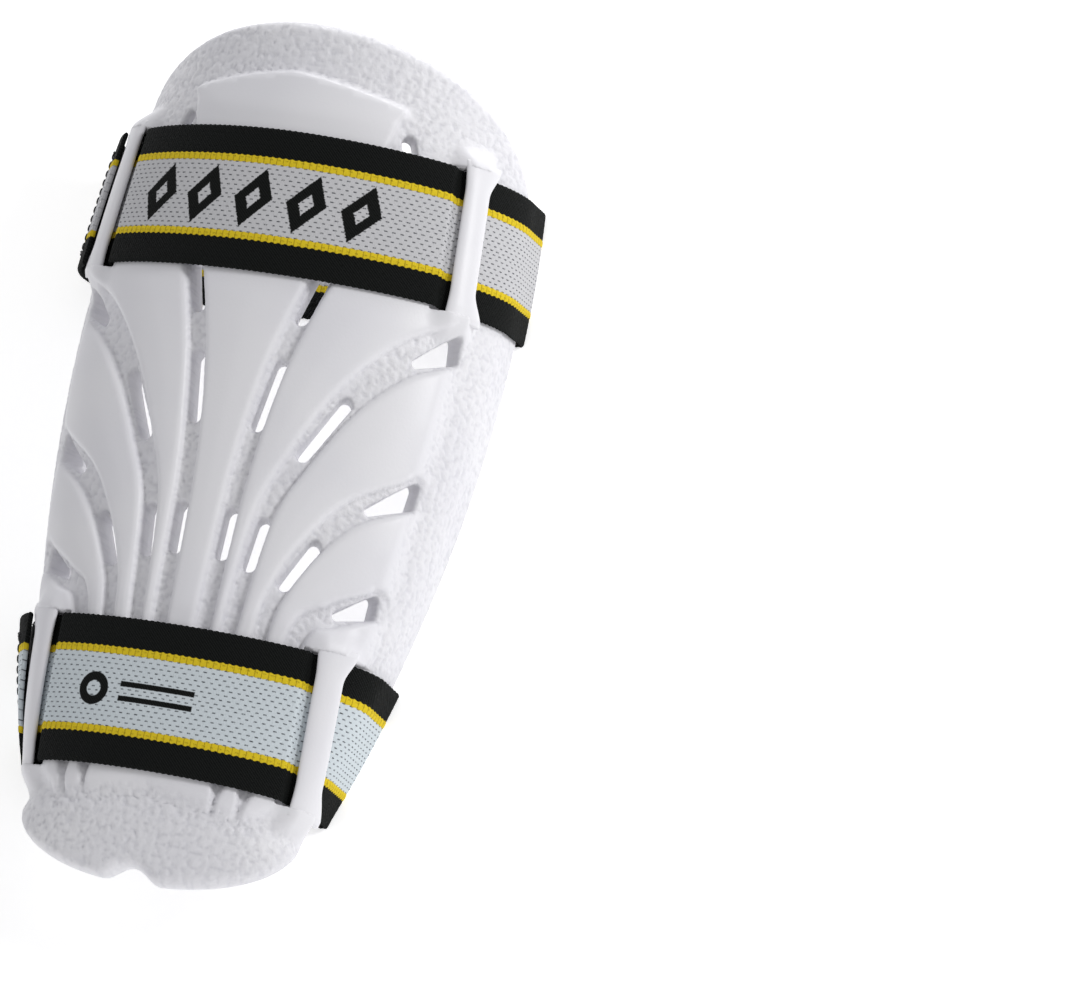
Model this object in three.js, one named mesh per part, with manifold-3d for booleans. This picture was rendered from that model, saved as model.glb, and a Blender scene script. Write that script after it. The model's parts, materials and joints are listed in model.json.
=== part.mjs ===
// Forearm guard: a moulded foam half tube worn over the outside of the forearm,
// held on by two elastic straps that close with hook-and-loop patches.
//
// Frame: millimetres. +Y runs from the wrist to the elbow, +Z points out of the front,
// and the guard lies on the outer faces of its straps' back spans, on the plane z = 0.
// Places on the foam are given as s, the distance round the outer skin from the ridge
// line (positive towards +X), y along the guard, and lift, the height above that skin.

import * as THREE from 'three';
import Module from 'manifold-3d';

const wasm = await Module();
wasm.setup();
const { lerp, smoothstep } = THREE.MathUtils;

// ---- Driving dimensions -------------------------------------------------------------

const HALF_LENGTH = 133;
const HALF_WIDTH = { wrist: 31.5, middle: 65.2, elbow: 59.8 };
const RISE = { wrist: 18, middle: 35.5, elbow: 52.5 };
const ROUNDNESS = { wrist: 2.13, middle: 1.99, elbow: 1.84 };
const SIDE_WALL = 13.3;
const WRIST_FLARE = { width: 12, from: -97, to: -132 };

const FOAM = 7.5;
const PANEL = 2.5;
const PANEL_REACH = { wrist: 52, middle: 67, elbow: 73 };
const PLATEAU_REACH = 37;
const PLATEAU_FROM = 92;
const PANEL_FADE = 9;
const PANEL_TOP = 116;
const PANEL_BOTTOM = -110;
const PANEL_STEP = 2.5;

const SIDE_TOP = 70;
const SIDE_BOTTOM = -72;
const ELBOW_ROUND = 2.35;
const WRIST_ROUND = 2.3;
const NOTCH_DEPTH = 4.5;
const NOTCH_HALF_WIDTH = 10;

const SLOT_WIDTH = 4.3;
const GAP = 0.3;

// The webbing's width along y, and where each strap crosses the front: the middle of its
// width, where its front run dips on each side, the bars over it, how much those lines
// lean inwards along y, and how the strap bows towards the elbow with distance squared.
const WEBBING = { width: 44.5, thickness: 1.6 };
const STRAPS = {
  upper: { y: 74.3, dip: 53, bar: [57.5, 65.5], lean: -0.05, bow: 0.0008 },
  lower: { y: -78.9, dip: 38.5, bar: [42.5, 50.5], lean: 0, bow: 0.0002 },
};
const DIP_LENGTH = 3.5;
const CORNER_RADIUS = 2.4;

// Bars: the height of the crown, how deep the bar starts in the panels, how far past the
// webbing it stays full and where it ends, and the share of a half wave off each flank
const BAR = { top: 5.5, root: 1, full: 1, end: 9, flank: 0.12 };

// The strap's way through the foam: its bed, and the room over, beside and in front of it
const STRAP_BED = -0.1;
const TUNNEL_HEIGHT = 2.3;
const TUNNEL_SPARE = 0.8;
const POCKET_SPARE = 0.5;
const WING_CLEARANCE = 22;

const LOOP_PATCH = { thickness: 1.2, margin: 2.5 };
const HOOK_PATCH = { thickness: 1.0, margin: 3.5 };
const STRAP_END_SPACE = 4;
const TAB_START = 1.5;
const HINGE_HEIGHT = 3.2;
const HINGE_SPACE = 0.45;
const THREAD = 0.5;

// How far the stitching lies inside the webbing's edges
const STITCHING = { loop: 1, hook: 5.5 };

// How far a cutter runs past what it cuts
const OVERRUN = 1;

// Facets of the section, the foam's pieces, and the webbing
const SECTION_STEPS = 120;
const SHELL_GRID = { columns: 30, rows: 25 };
const BAR_GRID = { columns: 4, rows: 10 };
const GROOVE_STEPS = 11;
const SLOT_END_STEPS = 4;
const CUTTER_STEPS = { pocket: 2, tunnel: 3, wing: 4 };
const STATIONS = { wing: 7, front: 20, corner: 3 };
const WIDTH_STEPS = 4;
const REACH_STEPS = 7;

// The closures make the left side thicker, and the frame's origin is at the middle.
const CENTRE_SHIFT = 2.7;

// Heights above the foam on the closed side, from the strap's end out to the tab
const STRAP_LIFT = GAP + WEBBING.thickness / 2;
const LOOP_LIFT = 2 * GAP + WEBBING.thickness;
const HOOK_LIFT = LOOP_LIFT + LOOP_PATCH.thickness + GAP;
const TAB_INNER = HOOK_LIFT + HOOK_PATCH.thickness + GAP;
const TAB_OUTER = TAB_INNER + WEBBING.thickness;
const EDGE_HEIGHT = WEBBING.thickness + 2 * GAP;
const WALL_TOP = EDGE_HEIGHT + SIDE_WALL;

// Grooves between the raised panels, on the +X half, from the outer end to the wrist end:
// the width at both ends, and the places that the centre line passes smoothly through
const GROOVES = [
  { width: [7, 4.5], line: [[37.5, 105], [30, 79], [20.5, 53], [13.5, 28], [10, 6], [8, -18], [7, -56]] },
  { width: [14, 4], line: [[66, 46], [50, 36], [36.5, 20], [26, 0], [18.5, -20], [15, -56]] },
  { width: [10, 3], line: [[62, -2], [45.5, -12], [35.5, -24], [28, -39], [24.5, -56], [20.5, -112]] },
  { width: [9, 3], line: [[57, -37.5], [44, -44.5], [35, -54], [29.5, -100], [27, -112]] },
];

// Through slots along the grooves, as the two ends of their centre lines
const SLOTS = [
  [[40.5, 95], [38, 102]],
  [[17, 41.5], [24, 64]],
  [[10.3, 7.5], [13.5, 26]],
  [[7.6, -32.5], [8, -20.5]],
  [[26, 1], [35.5, 18.5]],
  [[16.7, -34.5], [18.3, -22]],
  [[28.5, -38], [35, -25.5]],
];

// Tapered slots at the grooves' outer ends: the point, then the two outer corners
const TAPERED_SLOTS = [
  [[51, 34.7], [68, 41.7], [67, 49.7]],
  [[45.5, -12.7], [63, -5.2], [64, 2.7]],
  [[43, -44.7], [58, -40.2], [58, -34.2]],
];

// ---- Surface of the foam ------------------------------------------------------------

// A size that changes along the guard, from its values at the wrist, middle and elbow
function along(size, y) {
  const t = y / HALF_LENGTH;
  const slope = (size.elbow - size.wrist) / 2;
  const bend = (size.elbow + size.wrist) / 2 - size.middle;
  return size.middle + slope * t + bend * t * t;
}

// Half of the width across the outer skin, which flares out again at the wrist end
function halfWidth(y) {
  return along(HALF_WIDTH, y) + WRIST_FLARE.width * (1 - smoothstep(y, WRIST_FLARE.to, WRIST_FLARE.from));
}

// Half of the cross-section at y: a quarter of a superellipse, measured along its length
const sectionCache = new Map();
function section(y) {
  const key = y.toFixed(4);
  if (sectionCache.has(key)) return sectionCache.get(key);
  const power = 2 / along(ROUNDNESS, y);
  const points = [];
  for (let i = 0; i <= SECTION_STEPS; i += 1) {
    const angle = (i / SECTION_STEPS) * (Math.PI / 2);
    const x = halfWidth(y) * Math.sin(angle) ** power;
    const z = along(RISE, y) * Math.max(Math.cos(angle), 0) ** power;
    points.push(new THREE.Vector2(x, z));
  }
  const lengths = [0];
  for (let i = 1; i <= SECTION_STEPS; i += 1) {
    lengths.push(lengths[i - 1] + points[i].distanceTo(points[i - 1]));
  }
  const made = { points, lengths, quarter: lengths[SECTION_STEPS] };
  sectionCache.set(key, made);
  return made;
}

// Distance round the skin from the ridge line to the lower side edge
function reachAt(y) {
  return section(y).quarter + SIDE_WALL;
}

// The point of the section at distance s from the ridge line, as x and z above the wall
function sectionPoint(s, y) {
  const { points, lengths, quarter } = section(y);
  const reach = Math.abs(s);
  const side = Math.sign(s) || 1;
  if (reach >= quarter) {
    return new THREE.Vector2(side * halfWidth(y), quarter - reach);
  }
  const next = lengths.findIndex((length) => length > reach);
  const part = (reach - lengths[next - 1]) / (lengths[next] - lengths[next - 1]);
  const point = points[next - 1].clone().lerp(points[next], part);
  return new THREE.Vector2(side * point.x, point.y);
}

// A point above the foam's outer skin
function skin(s, y, lift) {
  const nudge = 0.8;
  const point = sectionPoint(s, y);
  const tangent = sectionPoint(s + nudge, y).sub(sectionPoint(s - nudge, y)).normalize();
  const x = point.x - tangent.y * lift;
  const z = point.y + tangent.x * lift;
  return new THREE.Vector3(x + CENTRE_SHIFT, y, z + WALL_TOP);
}

// ---- Solids -------------------------------------------------------------------------

// A BufferGeometry from a list of points and a list of triangles
function geometryFrom(points, triangles) {
  const geometry = new THREE.BufferGeometry().setFromPoints(points);
  geometry.setIndex(triangles.flat());
  return geometry;
}

// A manifold-3d solid from a closed geometry with shared vertices
function solidFrom(geometry) {
  const vertProperties = geometry.getAttribute('position').array;
  const triVerts = new Uint32Array(geometry.index.array);
  return new wasm.Manifold(new wasm.Mesh({ numProp: 3, vertProperties, triVerts }));
}

// A closed slab between two grids of points, outer(u, v) and inner(u, v), with u and v
// running from 0 to 1. The outer face looks outwards where u turns left into v.
function slab(columns, rows, outer, inner) {
  const points = [];
  for (const face of [outer, inner]) {
    for (let j = 0; j <= rows; j += 1) {
      for (let i = 0; i <= columns; i += 1) points.push(face(i / columns, j / rows));
    }
  }
  const layer = (columns + 1) * (rows + 1);
  const at = (i, j) => j * (columns + 1) + i;
  const triangles = [];
  const quad = (a, b, c, d) => triangles.push([a, b, c], [a, c, d]);
  for (let j = 0; j < rows; j += 1) {
    for (let i = 0; i < columns; i += 1) {
      const corners = [at(i, j), at(i + 1, j), at(i + 1, j + 1), at(i, j + 1)];
      quad(...corners);
      quad(...corners.map((corner) => corner + layer).reverse());
    }
  }
  const wall = (a, b) => quad(b, a, a + layer, b + layer);
  for (let i = 0; i < columns; i += 1) {
    wall(at(i, 0), at(i + 1, 0));
    wall(at(i + 1, rows), at(i, rows));
  }
  for (let j = 0; j < rows; j += 1) {
    wall(at(0, j + 1), at(0, j));
    wall(at(columns, j), at(columns, j + 1));
  }
  return solidFrom(geometryFrom(points, triangles));
}

// A prism through the foam, whose outline is given as [s, y] places in turning order
function prism(outline, low, high) {
  const flat = outline.map(([s, y]) => new THREE.Vector2(s, y));
  if (THREE.ShapeUtils.isClockWise(flat)) flat.reverse();
  const count = flat.length;
  const points = [high, low].flatMap((lift) => flat.map((place) => skin(place.x, place.y, lift)));
  const triangles = [];
  for (const [a, b, c] of THREE.ShapeUtils.triangulateShape(flat, [])) {
    triangles.push([a, b, c], [c + count, b + count, a + count]);
  }
  for (let a = 0; a < count; a += 1) {
    const b = (a + 1) % count;
    triangles.push([b, a, a + count], [b, a + count, b + count]);
  }
  return solidFrom(geometryFrom(points, triangles));
}

// Where a line along a strap, which crosses the ridge at y, is at distance s round the foam
function bowed(strap, s, y) {
  return y + strap.bow * s * s;
}

// A patch of even thickness along a strap, between two distances round the foam
function patch(strap, sRange, yRange, lift, thickness, columns, rows) {
  const place = (u, v, height) => {
    const y = lerp(yRange[0], yRange[1], v);
    const s = lerp(sRange[0](y), sRange[1](y), u);
    return skin(s, bowed(strap, s, y), height);
  };
  const outer = (u, v) => place(u, v, lift + thickness);
  const inner = (u, v) => place(u, v, lift);
  return slab(columns, rows, outer, inner);
}

const mirrored = (outline) => outline.map(([s, y]) => [-s, y]);

// ---- Foam shell ---------------------------------------------------------------------

// Where the elbow edge and the wrist edge lie, at a share f of the way round to the side
function elbowEdge(f) {
  return SIDE_TOP + (HALF_LENGTH - SIDE_TOP) * (1 - f ** ELBOW_ROUND) ** (1 / ELBOW_ROUND);
}

function wristEdge(f, s) {
  const arch = (1 - f ** WRIST_ROUND) ** (1 / WRIST_ROUND);
  const notch = NOTCH_DEPTH * Math.cos(Math.min(Math.abs(s) / NOTCH_HALF_WIDTH, 1) * (Math.PI / 2)) ** 2;
  return SIDE_BOTTOM - (HALF_LENGTH + SIDE_BOTTOM) * arch + notch;
}

// Height of the raised panels: full in the middle, fading into the rim and the sides
function panelHeight(s, y) {
  const above = smoothstep(y, PLATEAU_FROM, PLATEAU_FROM + PANEL_FADE);
  const reach = lerp(along(PANEL_REACH, y), PLATEAU_REACH, above);
  const side = 1 - smoothstep(Math.abs(s), reach - PANEL_FADE, reach);
  const top = 1 - smoothstep(y, PANEL_TOP - PANEL_STEP, PANEL_TOP + PANEL_STEP);
  const bottom = smoothstep(y, PANEL_BOTTOM - PANEL_STEP, PANEL_BOTTOM + PANEL_STEP);
  return PANEL * side * top * bottom;
}

function shellBlank() {
  const { columns, rows } = SHELL_GRID;
  const place = (u, v) => {
    const round = 2 * u - 1;
    const f = Math.abs(round);
    const high = elbowEdge(f);
    const low = wristEdge(f, round * reachAt(-HALF_LENGTH));
    const y = lerp(low, high, v);
    return { s: round * reachAt(y), y };
  };
  const outer = (u, v) => {
    const { s, y } = place(u, v);
    return skin(s, y, panelHeight(s, y));
  };
  const inner = (u, v) => {
    const { s, y } = place(u, v);
    return skin(s, y, -FOAM);
  };
  return slab(columns, rows, outer, inner);
}

// A groove cutter: a ribbon along the groove's line, from the base skin upwards
function grooveCutter({ width, line }, side) {
  const curve = new THREE.SplineCurve(line.map(([s, y]) => new THREE.Vector2(s * side, y)));
  const place = (across, v, lift) => {
    const point = curve.getPoint(v);
    const heading = curve.getTangent(v);
    const offset = (across - 0.5) * lerp(width[0], width[1], Math.sqrt(v));
    return skin(point.x - heading.y * offset, point.y + heading.x * offset, lift);
  };
  const outer = (u, v) => place(v, u, PANEL + OVERRUN);
  const inner = (u, v) => place(v, u, 0);
  return slab(GROOVE_STEPS, 1, outer, inner);
}

// The outline of a slot with round ends
function capsule([from, to], width) {
  const ends = [from, to].map(([s, y]) => new THREE.Vector2(s, y));
  const heading = ends[1].clone().sub(ends[0]).angle();
  const outline = [];
  ends.forEach((centre, index) => {
    const start = heading + (index ? -Math.PI / 2 : Math.PI / 2);
    for (let i = 0; i <= SLOT_END_STEPS; i += 1) {
      const angle = start + (i / SLOT_END_STEPS) * Math.PI;
      const s = centre.x + (width / 2) * Math.cos(angle);
      outline.push([s, centre.y + (width / 2) * Math.sin(angle)]);
    }
  });
  return outline;
}

// Distance round the foam at y of a line that crosses the strap's middle at s
function leaning(strap, s, y) {
  return s + strap.lean * (y - strap.y);
}

// The arch that holds a strap's edge of the front run down, merging into the panels
function strapBar(strap, side) {
  const half = WEBBING.width / 2;
  const height = (u, v) => {
    const away = Math.abs(v - 0.5) * 2 * (half + BAR.end);
    const ends = 1 - smoothstep(away, half + BAR.full, half + BAR.end);
    const crown = Math.sqrt(Math.sin(Math.PI * lerp(BAR.flank, 1 - BAR.flank, u)));
    return lerp(PANEL - BAR.root, BAR.top, ends * crown);
  };
  const place = (u, v, lift) => {
    const y = strap.y + lerp(-1, 1, v) * (half + BAR.end);
    const s = leaning(strap, lerp(strap.bar[0], strap.bar[1], side > 0 ? u : 1 - u), y);
    return skin(side * s, bowed(strap, s, y), lift);
  };
  const outer = (u, v) => place(u, v, height(u, v));
  const inner = (u, v) => place(u, v, -BAR.root);
  return slab(BAR_GRID.columns, BAR_GRID.rows, outer, inner);
}

// Clears the foam from the strap's way: an open pocket, a tunnel under the bar, and the
// side wing beside it
function strapCutter(strap, side) {
  const half = WEBBING.width / 2 + TUNNEL_SPARE;
  const yRange = [strap.y - half, strap.y + half];
  const line = (s) => (y) => side * leaning(strap, s, y);
  const clear = (from, to, height, steps) => {
    const range = side > 0 ? [line(from), line(to)] : [line(to), line(from)];
    return patch(strap, range, yRange, STRAP_BED, height - STRAP_BED, steps, WIDTH_STEPS);
  };
  const [barStart, barEnd] = strap.bar;
  const { pocket, tunnel, wing } = CUTTER_STEPS;
  return clear(strap.dip - POCKET_SPARE, barStart, BAR.top + OVERRUN, pocket)
    .add(clear(barStart - OVERRUN, barEnd + OVERRUN, TUNNEL_HEIGHT, tunnel))
    .add(clear(barEnd, barEnd + WING_CLEARANCE, PANEL + OVERRUN, wing));
}

function foamShell() {
  let shell = shellBlank();
  const outlines = [...SLOTS.map((slot) => capsule(slot, SLOT_WIDTH)), ...TAPERED_SLOTS];
  for (const side of [1, -1]) {
    for (const groove of GROOVES) shell = shell.subtract(grooveCutter(groove, side));
    for (const strap of Object.values(STRAPS)) shell = shell.add(strapBar(strap, side));
    for (const strap of Object.values(STRAPS)) shell = shell.subtract(strapCutter(strap, side));
    for (const outline of outlines) {
      const turned = side > 0 ? outline : mirrored(outline);
      shell = shell.subtract(prism(turned, -FOAM - OVERRUN, BAR.top + OVERRUN));
    }
  }
  return shell;
}

// ---- Straps and closures ------------------------------------------------------------

// Height of a strap's middle line above the skin: on the plateau in front, then down
function strapLift(strap, s, y) {
  const reach = Math.abs(s) - strap.lean * (y - strap.y);
  const dipped = smoothstep(reach, strap.dip, strap.dip + DIP_LENGTH);
  return STRAP_LIFT + PANEL * (1 - dipped);
}

const hingeX = (y) => -halfWidth(y) - TAB_OUTER + CORNER_RADIUS;

// Where a line along a strap, which crosses the ridge at y, leaves the foam's side edge
function edgeY(strap, y) {
  const rounds = 3;
  let edge = y;
  for (let i = 0; i < rounds; i += 1) edge = bowed(strap, reachAt(edge), y);
  return edge;
}

// The strap as a list of stations from its loop end, over the front and under the back.
// Each station gives a point at y, at an offset from the strap's middle line.
function strapStations(strap) {
  const over = (sAt) => (y, offset) => {
    const s = sAt(y);
    return skin(s, bowed(strap, s, y), strapLift(strap, s, y) + offset);
  };
  const line = (s, side) => (y) => side * leaning(strap, s, y);
  const wing = (part, spare, side) => (y) => {
    const edge = reachAt(edgeY(strap, y)) + spare;
    return side * lerp(leaning(strap, strap.bar[1], y), edge, part);
  };
  const stations = [];
  for (let i = STATIONS.wing; i > 0; i -= 1) {
    stations.push(over(wing(i / STATIONS.wing, -STRAP_END_SPACE, -1)));
  }
  const dipped = strap.dip + DIP_LENGTH;
  const underBar = [strap.bar[1], (strap.bar[1] + dipped) / 2, dipped, dipped - DIP_LENGTH / 2];
  for (const s of underBar) stations.push(over(line(s, -1)));
  for (let i = 0; i <= STATIONS.front; i += 1) {
    const part = (2 * i) / STATIONS.front - 1;
    stations.push(over((y) => part * leaning(strap, strap.dip, y)));
  }
  for (const s of underBar.toReversed()) stations.push(over(line(s, 1)));
  for (let i = 1; i <= STATIONS.wing; i += 1) {
    stations.push(over(wing(i / STATIONS.wing, EDGE_HEIGHT - CORNER_RADIUS, 1)));
  }
  const middle = CORNER_RADIUS - WEBBING.thickness / 2;
  const bend = STRAP_LIFT + WEBBING.thickness / 2 - CORNER_RADIUS;
  for (let i = 1; i <= STATIONS.corner; i += 1) {
    const angle = (i / STATIONS.corner) * (Math.PI / 2);
    stations.push((y, offset) => {
      const edge = edgeY(strap, y);
      const x = halfWidth(edge) + bend + (middle + offset) * Math.cos(angle);
      const z = CORNER_RADIUS - (middle + offset) * Math.sin(angle);
      return new THREE.Vector3(x + CENTRE_SHIFT, edge, z);
    });
  }
  stations.push((y, offset) => {
    const edge = edgeY(strap, y);
    const z = WEBBING.thickness / 2 - offset;
    return new THREE.Vector3(hingeX(edge) + HINGE_SPACE + CENTRE_SHIFT, edge, z);
  });
  return stations;
}

function webbingThrough(stations, strap) {
  const place = (u, v, offset) => {
    const y = strap.y + lerp(-0.5, 0.5, v) * WEBBING.width;
    return stations[Math.round(u * (stations.length - 1))](y, offset);
  };
  const outer = (u, v) => place(u, v, WEBBING.thickness / 2);
  const inner = (u, v) => place(u, v, -WEBBING.thickness / 2);
  return slab(stations.length - 1, WIDTH_STEPS, outer, inner);
}

// The range across the closed side, from inside of the tab's hinge to beside the bar
const closureRange = (strap, margin) => [
  (y) => -(reachAt(edgeY(strap, y)) + EDGE_HEIGHT - HINGE_HEIGHT - HINGE_SPACE - margin),
  (y) => -(leaning(strap, strap.bar[1], y) + TAB_START + margin),
];

const acrossStrap = (strap, margin) => {
  const half = WEBBING.width / 2 - margin;
  return [strap.y - half, strap.y + half];
};

// A piece of the closure, set in by a margin from the webbing's edges
function closurePiece(strap, margin, lift, thickness) {
  const range = closureRange(strap, margin);
  const across = acrossStrap(strap, margin);
  return patch(strap, range, across, lift, thickness, REACH_STEPS, WIDTH_STEPS);
}

// A closed line of stitches round a patch
function stitchRing(strap, margin, lift) {
  const ring = closurePiece(strap, margin, lift, THREAD);
  const inside = closurePiece(strap, margin + THREAD, lift - OVERRUN, THREAD + 2 * OVERRUN);
  return ring.subtract(inside);
}

// ---- Model --------------------------------------------------------------------------

const MATERIALS = {
  foam: { color: 0xe6e4ea, roughness: 0.55, metalness: 0 },
  webbing: { color: 0xb9bdc4, roughness: 0.9, metalness: 0 },
  pile: { color: 0x14171a, roughness: 1, metalness: 0 },
  hook: { color: 0x101214, roughness: 0.7, metalness: 0 },
  thread: { color: 0x1b1d20, roughness: 0.8, metalness: 0 },
};

function piece(name, solid, material) {
  const { vertProperties, triVerts } = solid.getMesh();
  const geometry = new THREE.BufferGeometry();
  geometry.setAttribute('position', new THREE.BufferAttribute(vertProperties, 3));
  geometry.setIndex(new THREE.BufferAttribute(triVerts, 1));
  geometry.computeVertexNormals();
  const mesh = new THREE.Mesh(geometry, new THREE.MeshStandardMaterial(material));
  mesh.name = name;
  return mesh;
}

function strapAssembly(name, strap) {
  const group = new THREE.Group();
  group.add(piece(`${name}_strap`, webbingThrough(strapStations(strap), strap), MATERIALS.webbing));
  const tab = closurePiece(strap, 0, TAB_INNER, WEBBING.thickness);
  group.add(piece(`${name}_strap_tab`, tab, MATERIALS.webbing));
  const loop = closurePiece(strap, LOOP_PATCH.margin, LOOP_LIFT, LOOP_PATCH.thickness);
  group.add(piece(`${name}_loop_patch`, loop, MATERIALS.pile));
  const hook = closurePiece(strap, HOOK_PATCH.margin, HOOK_LIFT, HOOK_PATCH.thickness);
  group.add(piece(`${name}_hook_patch`, hook, MATERIALS.hook));
  const loopRing = stitchRing(strap, STITCHING.loop, LOOP_LIFT);
  group.add(piece(`${name}_loop_stitching`, loopRing, MATERIALS.thread));
  const hookRing = stitchRing(strap, STITCHING.hook, TAB_OUTER + GAP);
  group.add(piece(`${name}_hook_stitching`, hookRing, MATERIALS.thread));
  return group;
}

const guard = new THREE.Group();
guard.add(piece('foam_shell', foamShell(), MATERIALS.foam));
for (const [name, strap] of Object.entries(STRAPS)) guard.add(strapAssembly(name, strap));

export default guard;
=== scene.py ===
import json
import math

import bpy
import numpy as np
from mathutils import Matrix, Vector
from mathutils.geometry import delaunay_2d_cdt


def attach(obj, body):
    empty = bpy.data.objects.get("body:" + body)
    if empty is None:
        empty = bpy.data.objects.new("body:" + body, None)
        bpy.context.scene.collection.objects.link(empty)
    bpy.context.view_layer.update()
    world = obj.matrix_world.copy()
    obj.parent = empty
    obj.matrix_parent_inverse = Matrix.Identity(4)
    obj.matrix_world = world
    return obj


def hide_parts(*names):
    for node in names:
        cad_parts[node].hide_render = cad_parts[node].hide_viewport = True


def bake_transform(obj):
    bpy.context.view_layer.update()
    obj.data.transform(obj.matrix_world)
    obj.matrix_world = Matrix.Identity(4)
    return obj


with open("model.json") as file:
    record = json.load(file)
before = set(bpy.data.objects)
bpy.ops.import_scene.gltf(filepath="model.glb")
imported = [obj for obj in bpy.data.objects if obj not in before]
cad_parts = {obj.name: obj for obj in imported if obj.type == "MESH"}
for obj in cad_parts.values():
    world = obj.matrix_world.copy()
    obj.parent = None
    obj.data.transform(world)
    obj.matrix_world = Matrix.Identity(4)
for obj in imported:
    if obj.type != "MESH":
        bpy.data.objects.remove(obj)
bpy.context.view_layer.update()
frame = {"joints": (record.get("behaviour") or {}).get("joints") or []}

# The looks of a moulded foam forearm guard with two elastic straps. Lengths here are in
# millimetres until a mesh is made. Places on the foam are s, the distance round its outer
# skin from the ridge line (positive towards +X), y along the guard, and lift, the height
# above that skin, as in the CAD model whose sizes are repeated below.

MM = 0.001

HALF_LENGTH = 133
HALF_WIDTH = (31.5, 65.2, 59.8)
RISE = (18, 35.5, 52.5)
ROUNDNESS = (2.13, 1.99, 1.84)
SIDE_WALL = 13.3
FLARE = (12, -97, -132)
FOAM = 7.5
PANEL = 2.5
PANEL_REACH = (52, 67, 73)
PLATEAU_REACH = 37
PLATEAU_FROM = 92
PANEL_FADE = 9
SIDE_TOP = 70
SIDE_BOTTOM = -72
ELBOW_ROUND = 2.35
WRIST_ROUND = 2.3
NOTCH_DEPTH = 4.5
NOTCH_HALF_WIDTH = 10
SLOT_WIDTH = 4.3
WEB_HALF = 22.25
WEB_THICK = 1.6
STRAPS = {
    "upper": {"y": 74.3, "dip": 53, "bar": (57.5, 65.5), "lean": -0.05, "bow": 0.0008},
    "lower": {"y": -78.9, "dip": 38.5, "bar": (42.5, 50.5), "lean": 0, "bow": 0.0002},
}
DIP_LENGTH = 3.5
BAR_TOP = 5.5
BAR_FULL = 1
BAR_END = 11
BAR_SKIRT = 5
# How far the arch of a bar widens at its ends, on its inner and its outer side
BAR_FLARE = (0.6, 3.2)
BAR_FLARE_LENGTH = 8
BAR_OVERRUN = 2.4
BAR_ROUNDNESS = 2.15
STRAP_BED = -0.1
TUNNEL_HEIGHT = 2.3
TUNNEL_SPARE = 0.8
WING_CLEARANCE = 22
CORNER_RADIUS = 2.4
CENTRE_SHIFT = 2.7
STRAP_LIFT = 1.1
LOOP_LIFT = 2.2
TAB_INNER = 5.0
TAB_OUTER = 6.6
EDGE_HEIGHT = 2.2
CLOSURE_BOTTOM = 3.65
CLOSURE_TOP = 1.5
WALL_TOP = 15.5

GROOVES = [
    ((7, 4.5), [(37.5, 105), (30, 79), (20.5, 53), (13.5, 28), (10, 6), (8, -18), (7, -56)]),
    ((14, 4), [(66, 46), (50, 36), (36.5, 20), (26, 0), (18.5, -20), (15, -56)]),
    ((10, 3), [(62, -2), (45.5, -12), (35.5, -24), (28, -39), (24.5, -56), (20.5, -112)]),
    ((9, 3), [(57, -37.5), (44, -44.5), (35, -54), (29.5, -100), (27, -112)]),
]
SLOTS = [
    [(40.5, 95), (38, 102)],
    [(17, 41.5), (24, 64)],
    [(10.3, 7.5), (13.5, 26)],
    [(7.6, -32.5), (8, -20.5)],
    [(26, 1), (35.5, 18.5)],
    [(16.7, -34.5), (18.3, -22)],
    [(28.5, -38), (35, -25.5)],
]
TAPERED_SLOTS = [
    [(51, 34.7), (68, 41.7), (67, 49.7)],
    [(45.5, -12.7), (63, -5.2), (64, 2.7)],
    [(43, -44.7), (58, -40.2), (58, -34.2)],
]
# Where the smooth middle ends at the elbow and at the wrist, at distances from the ridge
PLATEAU_TOP = ([0, 12, 25, 35, 60], [117.8, 116.5, 114.8, 113.2, 109])
PLATEAU_BOTTOM = (
    [0, 7, 13, 18, 24, 31, 38, 44, 50, 52],
    [-108, -109, -110, -111, -112, -112, -108, -104, -97, -93],
)

# Rounding of the foam: its rim, the panels' edges and the lips of the slots
RIM_REACH = 3.8
PANEL_EDGE = 1.9
ELBOW_EDGE = 3.4
WRIST_EDGE = 7.0
LIP = 1.1
INNER_LIP = 0.7
CROWN = 0.9
CROWN_REACH = 9
COLLAR = 1.0
WRINKLE = 0.46
FINE_GROOVE = 1.5


# ---- Surface of the foam ----------------------------------------------------------------


def along(size, y):
    """A size that changes along the guard, from its values at the wrist, middle and elbow."""
    t = y / HALF_LENGTH
    return size[1] + (size[2] - size[0]) / 2 * t + ((size[2] + size[0]) / 2 - size[1]) * t * t


def smoothstep(x, low, high):
    t = np.clip((x - low) / (high - low), 0, 1)
    return t * t * (3 - 2 * t)


def lerp(a, b, t):
    return a + (b - a) * t


def rounded(t, power=2.0):
    """Rises from 0 to 1 as t does, as a quarter of a circle or superellipse."""
    return (1 - (1 - np.clip(t, 0, 1)) ** power) ** (1 / power)


def half_width(y):
    return along(HALF_WIDTH, y) + FLARE[0] * (1 - smoothstep(y, FLARE[2], FLARE[1]))


TABLE_STEP = 0.5
TABLE_Y = np.arange(-137, 137.01, TABLE_STEP)
TABLE_COUNT = 400


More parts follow.
